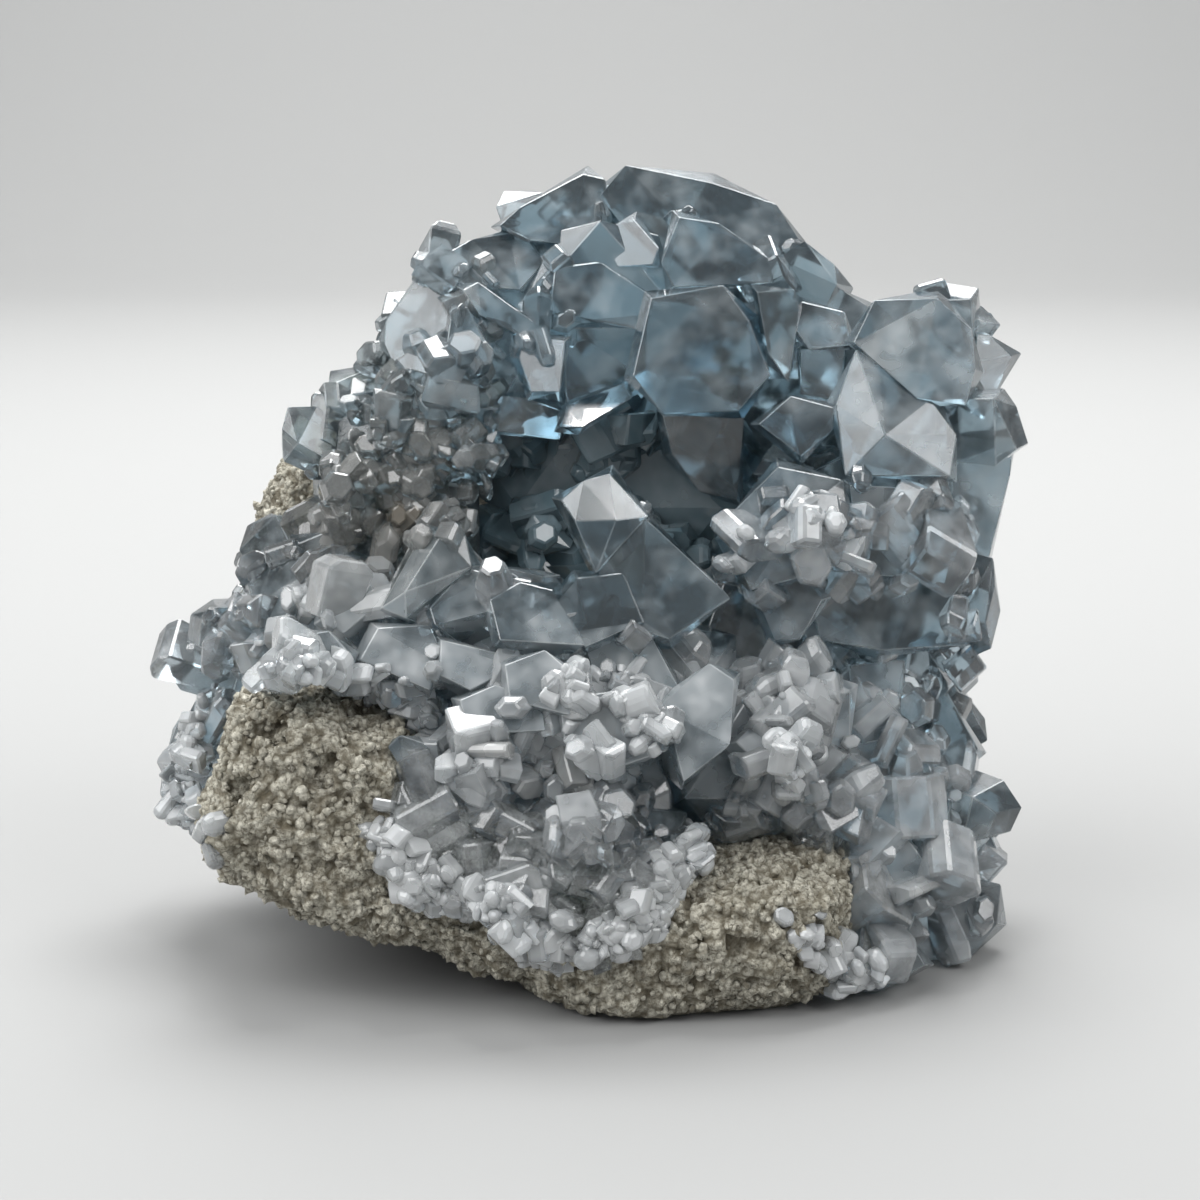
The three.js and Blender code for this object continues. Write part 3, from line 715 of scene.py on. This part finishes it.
class GEODE_OT_rock(bpy.types.Operator):
    """Builds the grainy rock from its CAD solid"""

    bl_idname = "geode.rock"
    bl_label = "Rock matrix"

    def execute(self, context):
        source = bpy.data.objects.new("rock_source", frame["nodes"]["matrix"].data.copy())
        context.scene.collection.objects.link(source)
        remesh = source.modifiers.new("Remesh", "REMESH")
        remesh.mode = "VOXEL"
        remesh.voxel_size = settings().rock_step
        mesh = shaped_mesh("matrix_look", source)
        discard(source)
        if not mesh.polygons:
            raise RuntimeError("The rock could not be remeshed")
        self.roughen(mesh)
        material = rock_material()
        new_piece("matrix_look", mesh, material, "matrix")
        new_piece("matrix_grains", self.grains(mesh), material)
        return {"FINISHED"}

    def roughen(self, mesh):
        """Gives the rock its lumps, beds, crumbs and pits, and leaves its foot flat."""
        count = len(mesh.vertices)
        places = np.empty(count * 3)
        mesh.vertices.foreach_get("co", places)
        outward = np.empty(count * 3)
        mesh.vertices.foreach_get("normal", outward)
        places = places.reshape(-1, 3)
        outward = outward.reshape(-1, 3)
        reliefs = [rock_relief(Vector(place), way[2]) for place, way in zip(places, outward)]
        moves, pits = np.array(reliefs).T
        settle = np.clip(places[:, 2] / SETTLE_HEIGHT, 0, 1)
        places = places + outward * (moves * settle * MM)[:, None]
        mesh.vertices.foreach_set("co", places.ravel())
        layer = mesh.attributes.new("pit", "FLOAT", "POINT")
        layer.data.foreach_set("value", pits.astype(np.float32))
        mesh.update()
        smooth(mesh)

    def grains(self, rock):
        """Loose-looking grains over the bare rock."""
        values = settings()
        heap = CrystalHeap(values.seed + 3, unit_grain, GRAIN_WEAR)
        random = heap.random
        crystals = surface_tree(["crystal_cluster"])
        placed = 0
        while placed < values.grain_count:
            polygon = rock.polygons[random.integers(len(rock.polygons))]
            low = polygon.center.z < GRAIN_FLOOR
            if low or crystals.find_nearest(polygon.center)[3] < GRAIN_GAP:
                placed += MISSED_GRAIN
                continue
            size = random.uniform(*GRAIN_SIZES) * MM
            look = {"milk": random.uniform(*GRAIN_MILK), "stain": random.uniform(*GRAIN_STAIN)}
            heap.grow(polygon.center, polygon.normal, size, look, 0)
            placed += 1
        mesh = plain_mesh("matrix_grains", heap.grown)
        smooth(mesh)
        return mesh


class GEODE_OT_crystals(bpy.types.Operator):
    """Builds the crystals: the large ones of the CAD solid, the small ones on them and the white druse"""

    bl_idname = "geode.crystals"
    bl_label = "Crystals"

    def execute(self, context):
        small = self.small_crystals()
        druse = self.druse(small)
        shape = welded("crystal_cluster")
        worn_and_highlit_edges(shape, settings().edge_width)
        base = triangle_base("crystal_base", shape)
        middles = [polygon.center for polygon in base.polygons]
        face_values(base, "milk", [LARGE_MILK * milkiness(middle) for middle in middles])
        face_values(base, "stain", [LARGE_STAIN * staining(middle) for middle in middles])
        face_values(base, "pale", [0.0] * len(middles))
        mesh = fused("crystal_cluster_look", base, [small, druse])
        material = crystal_material("celestite", shade=0.0, clear_share=0.93, milky_share=0.42)
        new_piece("crystal_cluster_look", mesh, material, "crystal_cluster")
        return {"FINISHED"}

    def small_crystals(self):
        """Small crystals along the seams between the large ones and over the crowded patches."""
        values = settings()
        heap = CrystalHeap(values.seed, unit_crystal, CRYSTAL_WEAR)
        random = heap.random
        shape = welded("crystal_cluster")
        for place, outward in seam_seeds(shape, values.seam_spacing, random):
            length = random.uniform(*SEAM_LENGTHS) * MM
            bare = BARE_SEAMS + patch_weight(CLEAN_PATCHES, *to_view(place))
            if place.z < CRYSTAL_FLOOR or random.random() < bare:
                continue
            heap.grow(place, tilted(outward, SEAM_LEAN, random), length, self.look(place))
        shape.free()
        crystals = surface_tree(["crystal_cluster"])
        rock = surface_tree(["matrix"])
        for (across, up), (radius_across, radius_up), count, sizes, on_rock in CROWDED_PATCHES:
            for _ in range(count):
                angle = random.uniform(0, 2 * math.pi)
                reach = math.sqrt(random.random())
                ray = view_ray(across + radius_across * reach * math.cos(angle),
                               up + radius_up * reach * math.sin(angle))
                place, outward, _, distance = crystals.ray_cast(VIEW_POINT, ray)
                below, under, _, depth = rock.ray_cast(VIEW_POINT, ray)
                if below and (place is None or depth < distance):
                    place, outward = (below, under) if on_rock else (None, None)
                if place is None or place.z < CRYSTAL_FLOOR:
                    continue
                length = random.uniform(*sizes) * MM
                heap.grow(place, tilted(outward, CROWD_LEAN, random), length, self.look(place))
        return heap

    def look(self, place):
        """The small crystals are deep blue at the crown and paler below it."""
        pale = PALE_MOST - PALE_FADE * (to_view(place)[1] - PALE_LINE)
        pale = min(PALE_MOST, max(PALE_LEAST, pale))
        return {"milk": SMALL_MILK * milkiness(place), "stain": staining(place), "edge": 0.0, "pale": pale}

    def druse(self, small):
        """White sugary crystals along the lower rim, the ledge and the milky masses."""
        heap = CrystalHeap(settings().seed + 1, unit_crystal, DRUSE_WEAR)
        random = heap.random
        tree = surface_tree(["crystal_cluster", "matrix"], small)
        for corners, width, count, sizes in WHITE_LINES:
            scatter = width * DRUSE_SCATTER
            for _ in range(count):
                along = random.uniform(0, len(corners) - 1)
                index = min(int(along), len(corners) - 2)
                share = along - index
                across = corners[index][0] * (1 - share) + corners[index + 1][0] * share
                up = corners[index][1] * (1 - share) + corners[index + 1][1] * share
                ray = view_ray(across + random.normal(0, scatter), up + random.normal(0, scatter))
                place, outward, _, _ = tree.ray_cast(VIEW_POINT, ray)
                if place is None or place.z < DRUSE_FLOOR:
                    continue
                length = random.uniform(*sizes) * MM
                look = {"milk": random.uniform(*DRUSE_MILK), "stain": 0.0, "edge": 0.0, "pale": 1.0}
                heap.grow(place, tilted(outward, DRUSE_LEAN, random), length, look, DRUSE_SINK)
        return heap


class GEODE_OT_hollow_crust(bpy.types.Operator):
    """Builds the crust of the hollow with its small crystals, painted darker as shade in the hollow"""

    bl_idname = "geode.hollow_crust"
    bl_label = "Hollow crust"

    def execute(self, context):
        values = settings()
        shape = welded("hollow_crust")
        heap = CrystalHeap(values.seed + 2, unit_crystal, CRYSTAL_WEAR)
        random = heap.random
        for place, outward in seam_seeds(shape, values.seam_spacing, random):
            axis = tilted(outward, CRUST_LEAN, random)
            length = random.uniform(*CRUST_SEAM_LENGTHS) * MM
            heap.grow(place, axis, length, self.look(random))
        for face in shape.faces:
            if face.normal.y > CRUST_BACK:
                continue
            area = face.calc_area() / MM ** 2
            corners = [v.co for v in face.verts]
            for _ in range(int(area / CRUST_SHARE + random.random())):
                share = random.dirichlet(np.ones(len(corners)))
                place = sum((c * s for c, s in zip(corners, share)), Vector())
                axis = tilted(face.normal, CRUST_LEAN, random)
                length = random.uniform(*CRUST_FACE_LENGTHS) * MM
                heap.grow(place, axis, length, self.look(random))
        base = triangle_base("crust_base", shape)
        for key, value in self.look(random).items():
            face_values(base, key, [value] * len(base.polygons))
        mesh = fused("hollow_crust_look", base, [heap])
        # The crust takes half of the painted hollow shade.
        material = crystal_material("celestite_crust", shade=0.5, clear_share=0.4, milky_share=0.3)
        new_piece("hollow_crust_look", mesh, material, "hollow_crust")
        return {"FINISHED"}

    def look(self, random):
        """The crystals of the crust are clear and deep in colour."""
        return {"milk": random.uniform(*CRUST_MILK), "stain": 0.0, "edge": 0.0, "pale": 0.0}


class GEODE_OT_stage(bpy.types.Operator):
    """Sets the pale floor, the soft lights and the camera at the front"""

    bl_idname = "geode.stage"
    bl_label = "Stage"

    def execute(self, context):
        scene = context.scene
        self.backdrop(scene)
        for light in LIGHTS:
            self.light(scene, *light)
        self.room(scene)
        self.camera(scene)
        scene.view_settings.view_transform = "Standard"
        scene.cycles.use_light_tree = False
        scene.cycles.light_sampling_threshold = 0.04
        scene.cycles.max_bounces = 4
        scene.cycles.transmission_bounces = 4
        scene.cycles.diffuse_bounces = 1
        scene.cycles.glossy_bounces = 2
        return {"FINISHED"}

    def camera(self, scene):
        """A camera at the point of the front view."""
        camera = bpy.data.cameras.new("front_camera")
        camera.lens = CAMERA_LENS
        camera.sensor_width = CAMERA_SENSOR
        place = bpy.data.objects.new("front_camera", camera)
        place.location = VIEW_POINT
        place.rotation_euler = (-VIEW_BACK).to_track_quat("-Z", "Y").to_euler()
        scene.collection.objects.link(place)
        scene.camera = place

    def room(self, scene):
        """A pale, even room."""
        world = bpy.data.worlds.new("room")
        world.use_nodes = True
        glow = world.node_tree.nodes["Background"]
        glow.inputs[0].default_value = ROOM_COLOUR
        glow.inputs[1].default_value = ROOM_STRENGTH
        scene.world = world

    def backdrop(self, scene):
        """A floor that bends up into a wall behind the geode."""
        half, front, bend, radius, top, steps = 1.6, -1.2, 0.75, 0.45, 1.6, 12
        profile = [(front, 0.0), (bend, 0.0)]
        for step in range(1, steps + 1):
            angle = step / steps * math.pi / 2
            profile.append((bend + radius * math.sin(angle), radius * (1 - math.cos(angle))))
        profile.append((bend + radius, top))
        points = [(x, y, z) for y, z in profile for x in (-half, half)]
        faces = [(2 * i, 2 * i + 1, 2 * i + 3, 2 * i + 2) for i in range(len(profile) - 1)]
        mesh = bpy.data.meshes.new("backdrop")
        mesh.from_pydata(points, [], faces)
        smooth(mesh)
        material, _, shader, _ = node_tree("backdrop_paper")
        shader.inputs["Base Color"].default_value = PAPER_COLOUR
        shader.inputs["Roughness"].default_value = PAPER_ROUGHNESS
        mesh.materials.append(material)
        backdrop = bpy.data.objects.new("backdrop", mesh)
        scene.collection.objects.link(backdrop)

    def light(self, scene, name, place, target, size, power):
        """A square soft light that looks at a target."""
        lamp = bpy.data.lights.new(name, "AREA")
        lamp.shape = "SQUARE"
        lamp.size = size
        lamp.energy = power
        holder = bpy.data.objects.new(name, lamp)
        holder.location = place
        aim = Vector(target) - Vector(place)
        holder.rotation_euler = aim.to_track_quat("-Z", "Y").to_euler()
        scene.collection.objects.link(holder)


class GEODE_PT_panel(bpy.types.Panel):
    """Lists the steps and settings of the geode"""

    bl_idname = "GEODE_PT_panel"
    bl_label = "Celestite geode"
    bl_space_type = "VIEW_3D"
    bl_region_type = "UI"
    bl_category = "Geode"

    def draw(self, context):
        for operator in OPERATORS:
            self.layout.operator(operator.bl_idname)
        for name in GeodeSettings.__annotations__:
            self.layout.prop(context.scene.geode, name)


OPERATORS = (
    GEODE_OT_rock,
    GEODE_OT_crystals,
    GEODE_OT_hollow_crust,
    GEODE_OT_stage,
)
CLASSES = (GeodeSettings, *OPERATORS, GEODE_PT_panel)


def register():
    for item in CLASSES:
        bpy.utils.register_class(item)
    bpy.types.Scene.geode = PointerProperty(type=GeodeSettings)


def unregister():
    del bpy.types.Scene.geode
    for item in reversed(CLASSES):
        bpy.utils.unregister_class(item)


def main():
    register()
    bpy.ops.geode.rock()
    bpy.ops.geode.crystals()
    bpy.ops.geode.hollow_crust()
    bpy.ops.geode.stage()


if __name__ == "__main__":
    main()
